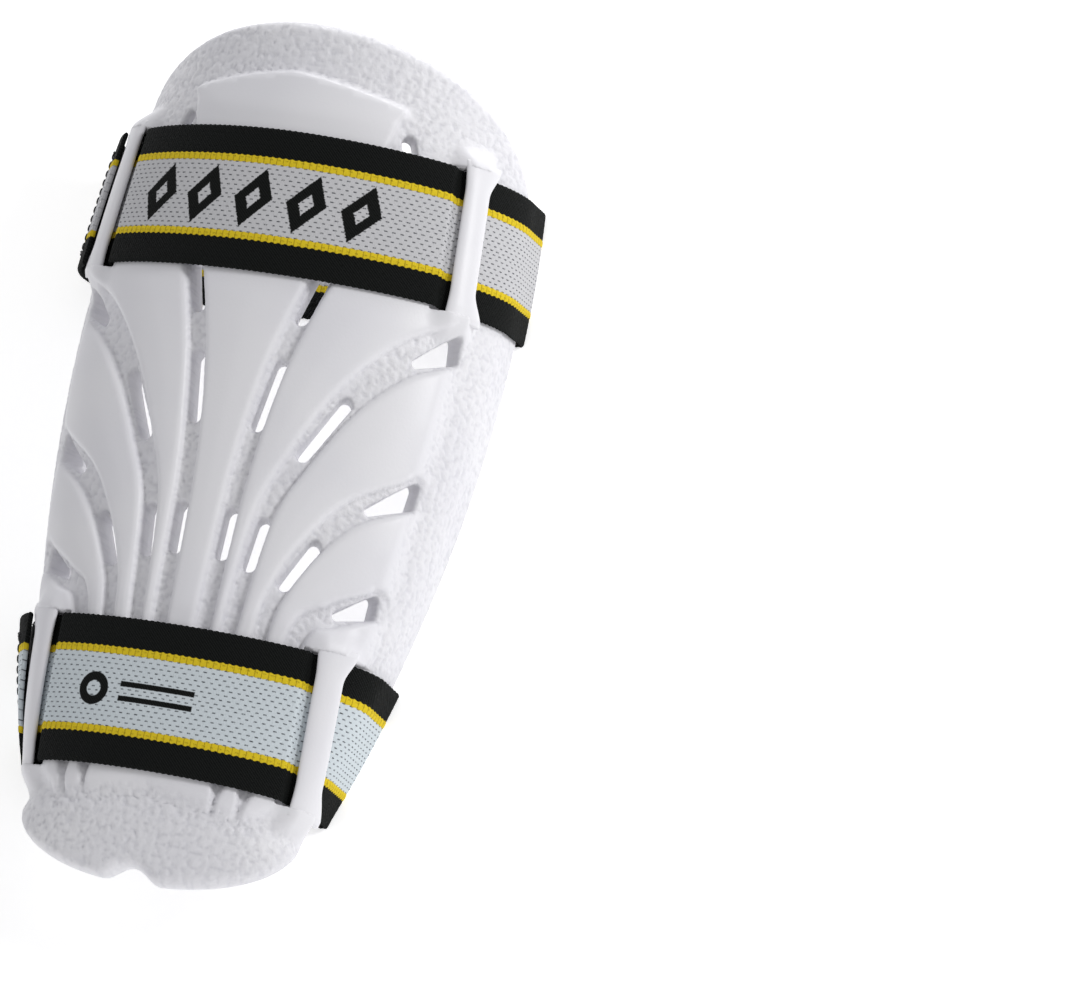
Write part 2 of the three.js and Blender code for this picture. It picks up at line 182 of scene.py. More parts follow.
def section_tables():
    """The cross-section's points and normals at even distances round it, for each y."""
    angle = np.linspace(0, math.pi / 2, 1200)
    shares = np.linspace(0, 1, TABLE_COUNT)
    quarters, tables = [], [[], [], [], []]
    for y in TABLE_Y:
        power = along(ROUNDNESS, y)
        a, b = half_width(y), along(RISE, y)
        x = a * np.sin(angle) ** (2 / power)
        z = b * np.clip(np.cos(angle), 0, 1) ** (2 / power)
        length = np.concatenate([[0], np.cumsum(np.hypot(np.diff(x), np.diff(z)))])
        nx = np.clip(x, 1e-9, None) ** (power - 1) / a**power
        nz = np.clip(z, 1e-9, None) ** (power - 1) / b**power
        size = np.hypot(nx, nz)
        for table, values in zip(tables, (x, z, nx / size, nz / size)):
            table.append(np.interp(shares * length[-1], length, values))
        quarters.append(length[-1])
    return np.array(quarters), [np.array(table) for table in tables]


QUARTER, SECTION = section_tables()


def reach_at(y):
    """Distance round the skin from the ridge line to the lower side edge."""
    return np.interp(y, TABLE_Y, QUARTER) + SIDE_WALL


def skin(s, y, lift=0.0):
    """Points above the foam's outer skin, in millimetres."""
    s, y, lift = np.broadcast_arrays(*(np.asarray(v, float) for v in (s, y, lift)))
    quarter = np.interp(y, TABLE_Y, QUARTER)
    reach = np.abs(s)
    column = np.clip(reach / quarter, 0, 1) * (TABLE_COUNT - 1)
    row = (y - TABLE_Y[0]) / TABLE_STEP
    i = np.clip(column.astype(int), 0, TABLE_COUNT - 2)
    j = np.clip(row.astype(int), 0, len(TABLE_Y) - 2)
    u, v = column - i, row - j

    def at(table):
        low = lerp(table[j, i], table[j, i + 1], u)
        return lerp(low, lerp(table[j + 1, i], table[j + 1, i + 1], u), v)

    x, z, nx, nz = (at(table) for table in SECTION)
    size = np.hypot(nx, nz)
    side = np.where(s < 0, -1, 1)
    across = side * (x + nx / size * lift) + CENTRE_SHIFT
    height = z - np.maximum(reach - quarter, 0) + nz / size * lift + WALL_TOP
    return np.stack([across, y, height], -1)


# ---- Lines and noise on the surface -----------------------------------------------------


def catmull_rom(points, steps):
    """A smooth line through the points, with its share of the way at each place."""
    points = np.array(points, float)
    last = len(points) - 1
    share = np.linspace(0, 1, steps + 1)
    place = share * last
    i = np.minimum(place.astype(int), last - 1)
    t = (place - i)[:, None]
    before, here = points[np.maximum(i - 1, 0)], points[i]
    there, after = points[i + 1], points[np.minimum(i + 2, last)]
    start, end = (there - before) / 2, (after - here) / 2
    cubic = 2 * here - 2 * there + start + end
    square = 3 * there - 3 * here - 2 * start - end
    return ((cubic * t + square) * t + start) * t + here


def line_distance(s, y, line):
    """Distance from points to a line of places, and the share along it of the nearest."""
    best = np.full(s.shape, 1e9)
    share = np.zeros(s.shape)
    steps = len(line) - 1
    for i, (a, b) in enumerate(zip(line[:-1], line[1:])):
        run = b - a
        t = np.clip(((s - a[0]) * run[0] + (y - a[1]) * run[1]) / (run @ run), 0, 1)
        away = np.hypot(s - a[0] - t * run[0], y - a[1] - t * run[1])
        nearer = away < best
        best = np.where(nearer, away, best)
        share = np.where(nearer, (i + t) / steps, share)
    return best, share


def inside_loop(s, y, loop):
    """Whether points lie inside a closed line of places."""
    inside = np.zeros(s.shape, bool)
    for a, b in zip(loop, np.roll(loop, -1, axis=0)):
        if a[1] == b[1]:
            continue
        crosses = (a[1] > y) != (b[1] > y)
        inside ^= crosses & (s < a[0] + (y - a[1]) / (b[1] - a[1]) * (b[0] - a[0]))
    return inside


def hashed(i, j, salt):
    """A steady random number from 0 to 1 for each whole-number pair."""
    mixed = np.sin(i * 127.1 + j * 311.7 + salt * 74.7) * 43758.5453
    return mixed - np.floor(mixed)


def value_noise(x, y, salt):
    """Smooth noise from -1 to 1 with features one unit wide."""
    i, j = np.floor(x), np.floor(y)
    u, v = smoothstep(x - i, 0, 1), smoothstep(y - j, 0, 1)
    low = lerp(hashed(i, j, salt), hashed(i + 1, j, salt), u)
    high = lerp(hashed(i, j + 1, salt), hashed(i + 1, j + 1, salt), u)
    return 2 * lerp(low, high, v) - 1


def cell_noise(x, y, salt):
    """How far each point is from the nearest border between scattered cells."""
    i, j = np.floor(x), np.floor(y)
    first = np.full(x.shape, 9.0)
    second = np.full(x.shape, 9.0)
    for di in (-1, 0, 1):
        for dj in (-1, 0, 1):
            cx = i + di + 0.12 + 0.76 * hashed(i + di, j + dj, salt)
            cy = j + dj + 0.12 + 0.76 * hashed(i + di, j + dj, salt + 9)
            away = np.hypot(x - cx, y - cy)
            second = np.where(away < first, first, np.minimum(second, away))
            first = np.minimum(first, away)
    return second - first


def leather(s, y):
    """The wrinkled skin: its height about a mean of 0, and how deep in a crease it is, the mask for the
    painted shade in the creases.
    """
    drift_s = s + 1.3 * value_noise(s / 3.1, y / 3.1, 1) + 0.6 * value_noise(s / 1.5, y / 1.5, 2)
    drift_y = y + 1.3 * value_noise(s / 3.1, y / 3.1, 3) + 0.6 * value_noise(s / 1.5, y / 1.5, 4)
    broad = cell_noise(drift_s / 3.3, drift_y / 2.7, 5)
    fine = cell_noise(drift_s / 2.1 + 7, drift_y / 1.9, 6)
    height = rounded(broad / 0.45) * 0.75 + rounded(fine / 0.5) * 0.25
    crease = 1 - smoothstep(broad, 0, 0.2)
    return WRINKLE * (height - 0.9) * 1.6, crease


# ---- Height of the foam -----------------------------------------------------------------

GROOVE_LINES = [(width, catmull_rom(line, 60)) for width, line in GROOVES]


def groove_half(width, share):
    return lerp(width[0], width[1], np.sqrt(share)) / 2


def panel_field(s, y):
    """How far inside the smooth panels points are, and how much of the panel is left there."""
    reach = np.abs(s)
    from_elbow = np.interp(reach, *PLATEAU_TOP) - y
    from_wrist = y - np.interp(reach, *PLATEAU_BOTTOM)
    inside = np.minimum(from_elbow, from_wrist)
    ends = smoothstep(from_elbow, 0, ELBOW_EDGE) * smoothstep(from_wrist, 0, WRIST_EDGE)
    narrowed = FINE_GROOVE * smoothstep(-y, 98, 106)
    for width, line in GROOVE_LINES:
        away, share = line_distance(reach, y, line)
        inside = np.minimum(inside, away - groove_half(width, share) + narrowed)
    above = smoothstep(y, PLATEAU_FROM, PLATEAU_FROM + PANEL_FADE)
    limit = lerp(along(PANEL_REACH, y), PLATEAU_REACH, above)
    fade = lerp(PANEL_FADE, 3.0, above)
    return inside, ends * (1 - smoothstep(reach, limit - fade, limit))


def leaning(strap, s, y):
    """Distance round the foam at y of a line that crosses the strap's middle at s."""
    return s + strap["lean"] * (y - strap["y"])


def bowed(strap, s, y):
    """Where a line along the strap, which crosses the ridge at y, is at distance s."""
    return y + strap["bow"] * s * s


def edge_y(strap, y):
    """Where a line along the strap, which crosses the ridge at y, leaves the foam's side."""
    edge = y
    for _ in range(3):
        edge = bowed(strap, reach_at(edge), y)
    return edge


def from_strap(strap, s, y):
    """Places measured from a strap: round the foam without its lean, and from its middle."""
    across = y - strap["bow"] * s * s - strap["y"]
    return np.abs(s) - strap["lean"] * across, np.abs(across)


def foam_height(s, y):
    """Height of the foam above its base skin, with its wrinkle mask and the crease mask for painted
    shade.
    """
    inside, side = panel_field(s, y)
    panel = rounded(inside / PANEL_EDGE) * side
    texture = 1 - smoothstep(panel, 0.25, 0.95)
    near_strap = np.zeros(s.shape)
    for strap in STRAPS.values():
        away = from_strap(strap, s, y)[1]
        near_strap = np.maximum(near_strap, 1 - smoothstep(away, WEB_HALF + 1, WEB_HALF + 9))
    swell = 1 - np.exp(-np.maximum(inside, 0) / CROWN_REACH)
    crown = CROWN * swell * side * (1 - near_strap)
    wrinkle, crease = leather(s, y)
    collar = COLLAR * smoothstep(-y, 108, 116) * (1 - panel)
    height = PANEL * panel + crown + collar
    for strap in STRAPS.values():
        a, away = from_strap(strap, s, y)
        start, end = strap["bar"]
        risen = smoothstep(a, start - BAR_SKIRT, start + 2)
        flank = risen * (1 - smoothstep(a, end - 2, end + BAR_SKIRT))
        ends = 1 - smoothstep(away, WEB_HALF + BAR_FULL, WEB_HALF + BAR_END)
        height = lerp(height, BAR_TOP, flank * ends)
        calm = smoothstep(a, start - 7, start) * (1 - smoothstep(a, end, end + 5))
        texture = texture * (1 - calm * (1 - smoothstep(away, WEB_HALF + 6, WEB_HALF + 13)))
    height = height + texture * wrinkle
    for strap in STRAPS.values():
        a, away = from_strap(strap, s, y)
        along_way = (a > strap["dip"] - 0.5) & (a < strap["bar"][1] + WING_CLEARANCE)
        height = np.where(along_way & (away < WEB_HALF + TUNNEL_SPARE), STRAP_BED, height)
    return height, texture, crease * texture


# ---- Outlines ---------------------------------------------------------------------------


def evenly(loop, spacing):
    """A closed line resampled at an even spacing."""
    closed = np.vstack([loop, loop[:1]])
    length = np.concatenate([[0], np.cumsum(np.hypot(*np.diff(closed, axis=0).T))])
    count = max(int(round(length[-1] / spacing)), 8)
    at = np.arange(count) / count * length[-1]
    return np.stack([np.interp(at, length, closed[:, 0]), np.interp(at, length, closed[:, 1])], 1)


def foam_outline():
    """The foam's edge: round the elbow end, down one side, round the wrist end and back up."""
    turn = np.linspace(0, math.pi / 2, 260)
    f = np.sin(turn) ** (2 / ELBOW_ROUND)
    y = SIDE_TOP + (HALF_LENGTH - SIDE_TOP) * np.clip(np.cos(turn), 0, 1) ** (2 / ELBOW_ROUND)
    elbow = np.stack([f * reach_at(y), y], 1)
    y = np.linspace(SIDE_TOP, SIDE_BOTTOM, 200)[1:-1]
    wall = np.stack([reach_at(y), y], 1)
    f = np.sin(turn[::-1]) ** (2 / WRIST_ROUND)
    arch = np.clip(np.cos(turn[::-1]), 0, 1) ** (2 / WRIST_ROUND)
    near = np.minimum(f * reach_at(-HALF_LENGTH) / NOTCH_HALF_WIDTH, 1)
    notch = NOTCH_DEPTH * np.cos(near * math.pi / 2) ** 2
    y = SIDE_BOTTOM - (HALF_LENGTH + SIDE_BOTTOM) * arch + notch
    wrist = np.stack([f * reach_at(y), y], 1)
    half = np.vstack([elbow, wall, wrist])
    other = half[::-1][1:-1] * (-1, 1)
    return evenly(np.vstack([half, other]), 0.8)[::-1]


def moved_in(loop, distance):
    """A closed line moved to its left by a distance, where it turns left."""
    ahead = np.roll(loop, -2, axis=0) - np.roll(loop, 2, axis=0)
    ahead /= np.linalg.norm(ahead, axis=1)[:, None]
    return loop + np.stack([-ahead[:, 1], ahead[:, 0]], 1) * distance


def swollen(corners, distance, spacing):
    """The line at a distance outside a convex outline of corners, with round corners."""
    corners = np.array(corners, float)
    ahead = np.roll(corners, -1, axis=0)
    if np.sum(corners[:, 0] * ahead[:, 1] - ahead[:, 0] * corners[:, 1]) < 0:
        return swollen(corners[::-1], distance, spacing)
    run = ahead - corners
    heading = np.arctan2(run[:, 1], run[:, 0]) - math.pi / 2
    loop = []
    for i, corner in enumerate(corners):
        before, after = heading[i - 1], heading[i]
        turn = (after - before) % (2 * math.pi)
        for step in np.linspace(0, 1, 9):
            angle = before + turn * step
            loop.append(corner + distance * np.array([math.cos(angle), math.sin(angle)]))
    return evenly(np.array(loop), spacing)


def slot_shapes():
    """Each slot as an outline of corners and how far it is swollen."""
    shapes = [(slot, SLOT_WIDTH / 2) for slot in SLOTS]
    for corners in TAPERED_SLOTS:
        middle = np.mean(corners, axis=0)
        shapes.append(([lerp(np.array(c, float), middle, 0.3) for c in corners], 1.5))
    both = []
    for corners, size in shapes:
        both.append((np.array(corners, float), size))
        both.append((np.array(corners, float) * (-1, 1), size))
    return both


# ---- Meshes -----------------------------------------------------------------------------


def make_object(name, points, faces, material, floats=None, smooth=True):
    """A mesh object from points in millimetres, with its normals facing out."""
    mesh = bpy.data.meshes.new(name)
    mesh.from_pydata((np.asarray(points) * MM).tolist(), [], faces)
    for label, values in (floats or {}).items():
        layer = mesh.attributes.new(label, "FLOAT", "POINT")
        layer.data.foreach_set("value", np.asarray(values, np.float32))
    mesh.polygons.foreach_set("use_smooth", [smooth] * len(mesh.polygons))
    mesh.materials.append(material)
    obj = bpy.data.objects.new(name, mesh)
    bpy.context.scene.collection.objects.link(obj)
    return obj


def thinned(groups):
    """The groups' points in turn, without those too close to an earlier one."""
    cell = 0.7
    taken = {}
    kept = []
    for points, room in groups:
        for place in points.tolist():
            i, j = int(place[0] // cell), int(place[1] // cell)
            if room:
                close = any(
                    math.hypot(place[0] - other[0], place[1] - other[1]) < room
                    for di in (-1, 0, 1)
                    for dj in (-1, 0, 1)
                    for other in taken.get((i + di, j + dj), ())
                )
                if close:
                    continue
            taken.setdefault((i, j), []).append(place)
            kept.append(place)
    return np.array(kept)


def triangulated(loops, points):
    """Triangles over the points, inside the first loop and outside the others.
    The loops are the first of the points, in turn."""
    edges, ring = [], np.full(len(points), -1)
    start = 0
    for k, loop in enumerate(loops):
        count = len(loop)
        edges += [(start + i, start + (i + 1) % count) for i in range(count)]
        ring[start : start + count] = k
        start += count
    made = delaunay_2d_cdt([Vector(p) for p in points.tolist()], edges, [], 0, 1e-6, True)
    source = np.array([ids[0] if ids else -1 for ids in made[3]])
    triangles = source[np.array(made[2])]
    rings = ring[triangles]
    outside = (rings[:, 0] >= 0) & (rings[:, 0] == rings[:, 1]) & (rings[:, 1] == rings[:, 2])
    return triangles[~outside & (triangles >= 0).all(axis=1)]


def grid_points(spacing, box):
    """Staggered rows of points over a box of places."""
    (s0, y0), (s1, y1) = box
    rows = np.arange(y0, y1, spacing * 0.866)
    columns = np.arange(s0, s1, spacing)
    s, y = np.meshgrid(columns, rows)
    s = s + (np.arange(len(rows)) % 2)[:, None] * spacing / 2
    return np.stack([s.ravel(), y.ravel()], 1)


# ---- Foam shell -------------------------------------------------------------------------


def offset_lines(line, halves, distances, spacing):
    """Places at distances outside both edges of a ribbon along a line."""
    length = np.concatenate([[0], np.cumsum(np.hypot(*np.diff(line, axis=0).T))])
    at = np.arange(0, length[-1], spacing)
    s, y, half = (np.interp(at, length, v) for v in (line[:, 0], line[:, 1], halves))
    heading = np.stack([np.gradient(s), np.gradient(y)], 1)
    heading /= np.linalg.norm(heading, axis=1)[:, None]
    out = []
    for distance in distances:
        for side in (1, -1):
            away = side * (half + distance)
            out.append(np.stack([s - heading[:, 1] * away, y + heading[:, 0] * away], 1))
    return np.vstack(out)


def feature_points():
    """Places along the panels' edges, the straps' ways and the bars' roots."""
    edge = (-0.2, 0.15, 0.5, 1.1, 1.9, 3.2)
    right = []
    for width, line in GROOVE_LINES:
        halves = groove_half(width, np.linspace(0, 1, len(line)))
        right.append(offset_lines(line, halves, edge, 0.8))
    across = np.arange(0, 60, 0.8)
    for distance in edge:
        right.append(np.stack([across, np.interp(across, *PLATEAU_TOP) - distance], 1))
        right.append(np.stack([across, np.interp(across, *PLATEAU_BOTTOM) + distance], 1))
    for strap in STRAPS.values():
        start, end = strap["dip"] - 0.5, strap["bar"][1] + WING_CLEARANCE
        wall = WEB_HALF + TUNNEL_SPARE
        for away in (wall - 0.12, wall + 0.12, wall + 0.9):
            for side in (1, -1):
                s = np.arange(start, end, 0.7) + strap["lean"] * side * away
                right.append(np.stack([s, bowed(strap, s, strap["y"] + side * away)], 1))
        for a in (start - 0.12, start + 0.12):
            y = strap["y"] + np.arange(-wall, wall, 0.7)
            s = leaning(strap, a, y)
            right.append(np.stack([s, bowed(strap, s, y)], 1))
    right = np.vstack(right)
    right = right[right[:, 0] > 0.2]
    return np.vstack([right, right * (-1, 1)])


def bar_root_points(box):
    """A fine grid where the bars run into the panels."""
    grid = grid_points(0.5, box)
    wanted = np.zeros(len(grid), bool)
    for strap in STRAPS.values():
        a, away = from_strap(strap, grid[:, 0], grid[:, 1])
        beside = (a > strap["bar"][0] - 3) & (a < strap["bar"][1] + 3)
        wanted |= beside & (away > WEB_HALF + TUNNEL_SPARE) & (away < WEB_HALF + BAR_END + 1)
    return grid[wanted]


def foam_shell(material):
    outline = foam_outline()
    shapes = slot_shapes()
    slots = [swollen(corners, size, 0.6) for corners, size in shapes]
    loops = [outline, *slots]
    box = (outline.min(axis=0), outline.max(axis=0))

    def in_foam(points):
        keep = inside_loop(points[:, 0], points[:, 1], outline)
        for slot in slots:
            keep &= ~inside_loop(points[:, 0], points[:, 1], slot)
        return points[keep]

    def sheet_points(rim_steps, lip_steps, groups, lip):
        rings = [(loop, 0) for loop in loops]
        rings += [(moved_in(outline, RIM_REACH * t), 0.25) for t in rim_steps]
        for corners, size in shapes:
            rings += [(swollen(corners, size + lip * t, 0.6), 0.18) for t in lip_steps]
        return thinned(rings + [(in_foam(points), room) for points, room in groups])

    def from_edges(points):
        s, y = points[:, 0], points[:, 1]
        rim = line_distance(s, y, np.vstack([outline, outline[:1]]))[0]
        slot = np.full(s.shape, 1e3)
        for loop in slots[::2]:
            slot = np.minimum(slot, line_distance(np.abs(s), y, np.vstack([loop, loop[:1]]))[0])
        return rim, slot

    fine = grid_points(0.85, box)
    inside, side = panel_field(fine[:, 0], fine[:, 1])
    fine = fine[(rounded(inside / PANEL_EDGE) * side < 0.98) | (inside < 3)]
    groups = [
        (feature_points(), 0.22),
        (bar_root_points(box), 0.3),
        (fine, 0.5),
        (grid_points(1.7, box), 0.65),
    ]
    outer = sheet_points((0.076, 0.293, 0.617, 1), (0.2, 0.55, 1), groups, LIP)
    inner = sheet_points((0.134, 0.5, 1), (0.4, 1), [(grid_points(3.5, box), 0.7)], INNER_LIP)

    s, y = outer.T
    height, texture, crease = foam_height(s, y)
    rim, slot = from_edges(outer)
    height = height - LIP * (1 - rounded(slot / LIP))
    lift = lerp(-FOAM / 2, height, rounded(rim / RIM_REACH))
    front = skin(s, y, lift)

    rim, slot = from_edges(inner)
    lift = -FOAM + INNER_LIP * (1 - rounded(slot / INNER_LIP))
    lift = lerp(-FOAM / 2, lift, rounded(rim / RIM_REACH))
    back = skin(inner[:, 0], inner[:, 1], lift)

    shared = len(outline)
    offset = len(front) - shared
    faces = triangulated(loops, outer).tolist()
    for triangle in triangulated(loops, inner)[:, ::-1].tolist():
        faces.append([i if i < shared else i + offset for i in triangle])
    start = shared
    for loop in slots:
        for i in range(len(loop)):
            a, b = start + i, start + (i + 1) % len(loop)
            faces.append([a, b, b + offset, a + offset])
        start += len(loop)
    points = np.vstack([front, back[shared:]])
    plain = np.zeros(len(back) - shared)
    # The crease attribute carries the painted shade of the wrinkles' creases to the foam's colour.
    floats = {
        "texture": np.concatenate([texture, plain]),
        "crease": np.concatenate([crease, plain]),
    }
    return make_object("foam", points, faces, material, floats)


def strap_bar(name, strap, side, material):
    """The arch over a strap, as a closed bar with round flanks, sunk into both its roots."""
    around, rows = 28, 84
    half = WEB_HALF + TUNNEL_SPARE
    turn = np.arange(around) / around * 2 * math.pi
    cosine, sine = np.cos(turn), np.sin(turn)
    flat_u = np.sign(cosine) * np.abs(cosine) ** (2 / BAR_ROUNDNESS)
    flat_v = np.sign(sine) * np.abs(sine) ** (2 / BAR_ROUNDNESS)
    start, end = strap["bar"]
    points = []
    for dy in np.linspace(-half - BAR_OVERRUN, half + BAR_OVERRUN, rows + 1):
        sunk = 0.1 * smoothstep(abs(dy), half - 3, half) + 0.5 * max(abs(dy) - half - 0.6, 0)
        low, high = TUNNEL_HEIGHT, BAR_TOP - sunk
        flare = smoothstep(abs(dy), half - BAR_FLARE_LENGTH, half + BAR_OVERRUN)
        inner, outer = start - BAR_FLARE[0] * flare, end + BAR_FLARE[1] * flare
        a = (inner + outer) / 2 + (outer - inner) / 2 * flat_u
        s = leaning(strap, a, strap["y"] + dy)
        y = bowed(strap, s, strap["y"] + dy)
        points.append(skin(side * s, y, (low + high) / 2 + (high - low) / 2 * flat_v))
    faces = tube_faces(rows + 1, around, side < 0)
    count = len(points) * around
    floats = {"texture": np.zeros(count), "crease": np.zeros(count)}
    return make_object(name, np.vstack(points), faces, material, floats)


def tube_faces(rings, around, flipped=False):
    """Faces of a closed tube of rings, with a cap at each end."""
    faces = []
    for j in range(rings - 1):
        for i in range(around):
            k = (i + 1) % around
            quad = [j * around + i, (j + 1) * around + i, (j + 1) * around + k, j * around + k]
            faces.append(quad)
    faces.append(list(range(around)))
    faces.append([(rings - 1) * around + i for i in reversed(range(around))])
    return [face[::-1] for face in faces] if flipped else faces


def joined(target, others):
    """The target object with the others' meshes added to it."""
    with bpy.context.temp_override(active_object=target, selected_editable_objects=[target, *others]):
        bpy.ops.object.join()
    return target


# ---- Straps -----------------------------------------------------------------------------

STRAP_STEP = 0.62
CORD = (11.0, 13.2)
BEAD = 2.1
KNIT_ROW = 1.45
SELVEDGE = 0.9
SCALLOP_DEPTH = 0.13
SCALLOP_PITCH = 1.9


def strap_lift(strap, s, y):
    reach = np.abs(s) - strap["lean"] * (y - strap["y"])
    dipped = smoothstep(reach, strap["dip"], strap["dip"] + DIP_LENGTH)
    return STRAP_LIFT + PANEL * (1 - dipped)


def hinge_x(y):
    return -half_width(y) - TAB_OUTER + CORNER_RADIUS


def on_foam(strap, start, end):
    """A stretch of the strap that lies on the foam, between two distances round it."""

    def place(t, y, offset):
        s = lerp(start(y), end(y), t)
        return skin(s, bowed(strap, s, y), strap_lift(strap, s, y) + offset)

    return place


def round_corner(strap, side):
    """The bend between the strap's run down a side of the foam and its back."""

    def place(t, y, offset):
        y = edge_y(strap, y)
        angle = (t if side > 0 else 1 - t) * math.pi / 2
        radius = CORNER_RADIUS - WEB_THICK / 2 + offset
        x = back_end(y, side) + side * radius * math.cos(angle) + CENTRE_SHIFT
        return np.stack([x, y, CORNER_RADIUS - radius * math.sin(angle)], -1)

    return place


def back_end(y, side):
    """Where the flat back ends at the left hinge or at the right corner."""
    if side < 0:
        return hinge_x(y)
    return half_width(y) + STRAP_LIFT + WEB_THICK / 2 - CORNER_RADIUS


def flat_back(strap, side):
    """Half of the strap's back, from its end on the right or to its end on the left."""

    def place(t, y, offset):
        y = edge_y(strap, y)
        x = back_end(y, side) * (1 - t if side > 0 else t) + CENTRE_SHIFT
        return np.stack([x, y, WEB_THICK / 2 - offset], -1)

    return place


def strap_stretches(strap):
    """The strap from its loop end on the left, over the front, to the middle of its back."""
    bar = strap["bar"][1]

    def line(s, side):
        return lambda y: side * leaning(strap, s, y)

    return [
        on_foam(strap, lambda y: 4 - reach_at(edge_y(strap, y)), line(bar, -1)),
        on_foam(strap, line(bar, -1), line(strap["dip"], -1)),
        on_foam(strap, line(strap["dip"], -1), line(strap["dip"], 1)),
        on_foam(strap, line(strap["dip"], 1), line(bar, 1)),
        on_foam(strap, line(bar, 1), lambda y: corner_start(strap, y)),
        round_corner(strap, 1),
        flat_back(strap, 1),
    ]


def corner_start(strap, y):
    """Distance round the foam where the strap starts to bend under its side edge."""
    return reach_at(edge_y(strap, y)) + EDGE_HEIGHT - CORNER_RADIUS


def tab_stretches(strap):
    """The tab from the middle of the back, round the bend and up to its end by the bar."""

    def over(t, y, offset):
        s = -lerp(corner_start(strap, y), leaning(strap, strap["bar"][1], y) + CLOSURE_TOP, t)
        return skin(s, bowed(strap, s, y), TAB_INNER + WEB_THICK / 2 + offset)

    return [flat_back(strap, -1), round_corner(strap, -1), over]


def webbing_columns():
    """Places across the webbing, closest together on the cords and at the selvedges."""
    knit = np.linspace(0, CORD[0], 23)[1:]
    cord = np.linspace(CORD[0], CORD[1], 8)[1:]
    border = np.linspace(CORD[1], WEB_HALF - SELVEDGE, 12)[1:]
    edge = WEB_HALF - SELVEDGE * (1 - np.array([0.35, 0.62, 0.83, 0.95, 1]))
    half = np.concatenate([knit, cord, border, edge])
    return np.concatenate([-half[::-1], [0], half])


def webbing_relief(across, along_strap):
    """Height of the outer face above the webbing's middle: knit rows, cords and borders."""
    reach = np.abs(across)
    middle, half = (CORD[0] + CORD[1]) / 2, (CORD[1] - CORD[0]) / 2
    beads = 0.84 + 0.16 * np.abs(np.cos(math.pi * along_strap / BEAD))
    cord = rounded(1 - np.abs(reach - middle) / half) * beads
    rows = 0.5 + 0.5 * np.cos(2 * math.pi * across / KNIT_ROW)
    phase = along_strap / 2.5 + 0.5 * (np.round(across / KNIT_ROW + 0.5) % 2)
    loops = 0.5 + 0.5 * np.cos(2 * math.pi * phase)
    knit = 0.64 + 0.07 * rows + 0.05 * loops * (1 - rows)
    ribs = 0.62 + 0.035 * np.sin(2 * math.pi * (along_strap / 2.4 + across / 2.0))
    height = np.where(reach < CORD[0], knit, ribs)
    on_cord = (reach >= CORD[0]) & (reach <= CORD[1])
    return np.where(on_cord, 0.56 + 0.24 * cord, height)


def slab_faces(rows, columns):
    """Faces of a closed slab: an outer grid of points, then an inner one behind it."""
    layer = rows * columns
    faces = []

    def quad(a, b, c, d):
        faces.append((a, b, c, d))

    for j in range(rows - 1):
        for i in range(columns - 1):
            k = j * columns + i
            quad(k, k + 1, k + columns + 1, k + columns)
            quad(layer + k + columns, layer + k + columns + 1, layer + k + 1, layer + k)
    for i in range(columns - 1):
        last = (rows - 1) * columns + i
        quad(i + 1, i, layer + i, layer + i + 1)
        quad(last, last + 1, layer + last + 1, layer + last)
    for j in range(rows - 1):
        k, last = j * columns, (j + 1) * columns - 1
        quad(k, k + columns, layer + k + columns, layer + k)
        quad(last + columns, last, layer + last, layer + last + columns)
    return faces


def webbing(name, strap, stretches, start, material):
    """A length of webbing along its stretches. start is the distance along it at its end."""
    stations = []
    middle = np.array([float(strap["y"])])
    for place in stretches:
        rough = np.vstack([place(t, middle, np.zeros(1)) for t in np.linspace(0, 1, 60)])
        length = np.sum(np.linalg.norm(np.diff(rough, axis=0), axis=1))
        steps = max(int(math.ceil(length / STRAP_STEP)), 3)
        first = 1 if stations else 0
        stations += [(place, i / steps) for i in range(first, steps + 1)]
    centre = np.vstack([place(t, middle, np.zeros(1)) for place, t in stations])
    run = np.linalg.norm(np.diff(centre, axis=0), axis=1)
    distance = start + np.concatenate([[0], np.cumsum(run)])
    across = webbing_columns()
    rim = 0.12 + 0.88 * rounded((WEB_HALF - np.abs(across)) / SELVEDGE)
    outer, inner = [], []
    for (place, t), at in zip(stations, distance):
        wave = SCALLOP_DEPTH * math.sin(2 * math.pi * at / SCALLOP_PITCH)
        scallop = wave * smoothstep(np.abs(across), WEB_HALF - 1.5, WEB_HALF)
        y = strap["y"] + across - np.sign(across) * (SCALLOP_DEPTH + scallop)
        outer.append(place(t, y, webbing_relief(across, at) * rim))
        inner.append(place(t, y, -0.76 * rim))
    columns = len(across)
    floats = {
        "across": np.tile(across, 2 * len(stations)),
        "along": np.tile(np.repeat(distance, columns), 2),
    }
    points = np.vstack(outer + inner)
    faces = [face[::-1] for face in slab_faces(len(stations), columns)]
    return make_object(name, points, faces, material, floats), distance[-1]


# ---- Closures ---------------------------------------------------------------------------


def closure_s(strap, margin):
    """The two ends of a closure piece, as distances round the foam for each y."""
    below = EDGE_HEIGHT - CLOSURE_BOTTOM
    return (
        lambda y: -(reach_at(edge_y(strap, y)) + below - margin),
        lambda y: -(leaning(strap, strap["bar"][1], y) + CLOSURE_TOP + margin),
    )


